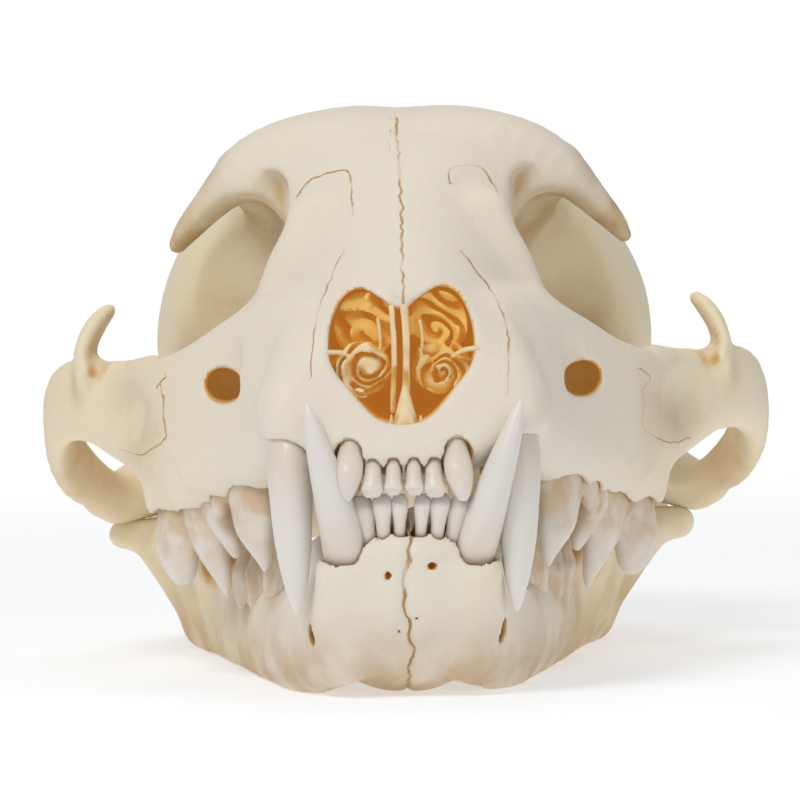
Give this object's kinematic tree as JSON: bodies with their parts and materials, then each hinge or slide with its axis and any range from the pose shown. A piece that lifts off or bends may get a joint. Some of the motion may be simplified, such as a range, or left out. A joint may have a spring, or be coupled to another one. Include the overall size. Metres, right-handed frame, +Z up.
{
  "type": "lynx skull",
  "caption": "Adult lynx skull resting on its closed lower jaw, with long canines, a heart-shaped nasal opening, open orbits and wide cheek arches.",
  "frame": {"origin": "centre of the overall box at the level of the flats under the lower jaw", "axes": "+Z up, +Y from the incisors to the back of the skull, so the skull faces -Y; +X is the animal's left"},
  "size_m": [0.108, 0.151, 0.0815],
  "materials": {
    "bone": "dry bleached bone, matt, with smoother paler teeth"
  },
  "bodies": {
    "root": {"face": "bone", "braincase": "bone", "zygomatic_arch_left": "bone", "zygomatic_arch_right": "bone", "mandible_left": "bone", "mandible_right": "bone"}
  },
  "joints": []
}
